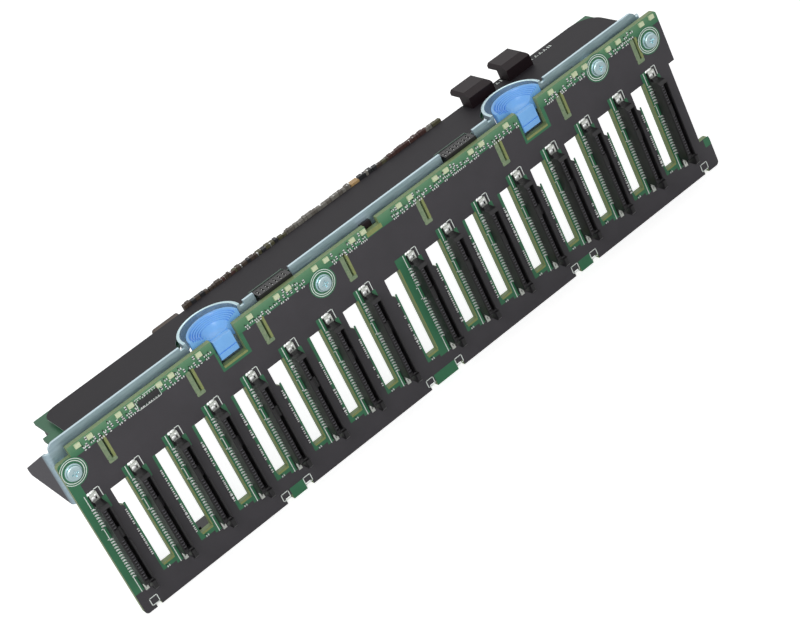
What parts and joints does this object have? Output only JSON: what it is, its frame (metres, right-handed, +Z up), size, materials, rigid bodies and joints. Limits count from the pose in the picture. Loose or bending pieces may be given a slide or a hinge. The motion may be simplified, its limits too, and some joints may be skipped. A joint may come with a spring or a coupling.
{
  "type": "drive backplane board",
  "caption": "Server drive backplane: a slotted circuit board with a row of drive sockets, a steel bracket with release latches and a rear cable card.",
  "frame": {"origin": "on the board's bottom edge, at mid width and mid thickness", "axes": "+X along the board, +Y to the rear (the card side, away from the drives), +Z up"},
  "size_m": [0.2963, 0.0507, 0.081],
  "materials": {
    "board_laminate": "satin solder resist, charcoal print over green",
    "connector_plastic": "fine moulded",
    "contact_metal": "bright tinned",
    "tab_metal": "bright tinned",
    "light_lens": "clear pale lens",
    "bracket_steel": "galvanised sheet, satin",
    "screw_zinc": "bright zinc",
    "latch_plastic": "semi gloss moulding",
    "card_laminate": "satin solder resist",
    "film": "matte sheet",
    "port_plastic": "fine moulded",
    "chip_body": "satin",
    "coil_body": "fired ferrite",
    "capacitor_body": "fired ceramic",
    "tantalum_body": "moulded"
  },
  "bodies": {
    "backplane": {"drive_board": "board_laminate", "drive_connector_01": "connector_plastic", "drive_connector_02": "connector_plastic", "drive_connector_03": "connector_plastic", "drive_connector_04": "connector_plastic", "drive_connector_05": "connector_plastic", "drive_connector_06": "connector_plastic", "drive_connector_07": "connector_plastic", "drive_connector_08": "connector_plastic", "drive_connector_09": "connector_plastic", "drive_connector_10": "connector_plastic", "drive_connector_11": "connector_plastic", "drive_connector_12": "connector_plastic", "drive_connector_13": "connector_plastic", "drive_connector_14": "connector_plastic", "drive_connector_15": "connector_plastic", "drive_connector_16": "connector_plastic", "drive_contacts_01": "contact_metal", "drive_contacts_02": "contact_metal", "drive_contacts_03": "contact_metal", "drive_contacts_04": "contact_metal", "drive_contacts_05": "contact_metal", "drive_contacts_06": "contact_metal", "drive_contacts_07": "contact_metal", "drive_contacts_08": "contact_metal", "drive_contacts_09": "contact_metal", "drive_contacts_10": "contact_metal", "drive_contacts_11": "contact_metal", "drive_contacts_12": "contact_metal", "drive_contacts_13": "contact_metal", "drive_contacts_14": "contact_metal", "drive_contacts_15": "contact_metal", "drive_contacts_16": "contact_metal", "hold_down_tabs": "tab_metal", "indicator_lights": "light_lens", "mounting_bracket": "bracket_steel", "bracket_screws": "screw_zinc", "board_socket_left": "connector_plastic", "board_socket_right": "connector_plastic", "card_plug_left": "connector_plastic", "card_plug_right": "connector_plastic", "rear_card": "card_laminate", "card_film": "film", "data_port_a": "port_plastic", "data_port_b": "port_plastic", "card_supports": "port_plastic", "film_spacers": "port_plastic", "controller_chip": "chip_body", "card_coils": "coil_body", "card_capacitors": "capacitor_body", "card_tantalum": "tantalum_body", "power_header": "connector_plastic"},
    "latch_left": {"release_latch_left": "latch_plastic"},
    "latch_right": {"release_latch_right": "latch_plastic"}
  },
  "joints": [
    {"name": "latch_left_slide", "type": "slide", "parent": "backplane", "child": "latch_left", "axis": [0, 1, 0], "range_m": [0, 0.002], "stiffness_N_per_m": 300},
    {"name": "latch_right_slide", "type": "slide", "parent": "backplane", "child": "latch_right", "axis": [0, 1, 0], "range_m": [0, 0.002], "stiffness_N_per_m": 300}
  ]
}
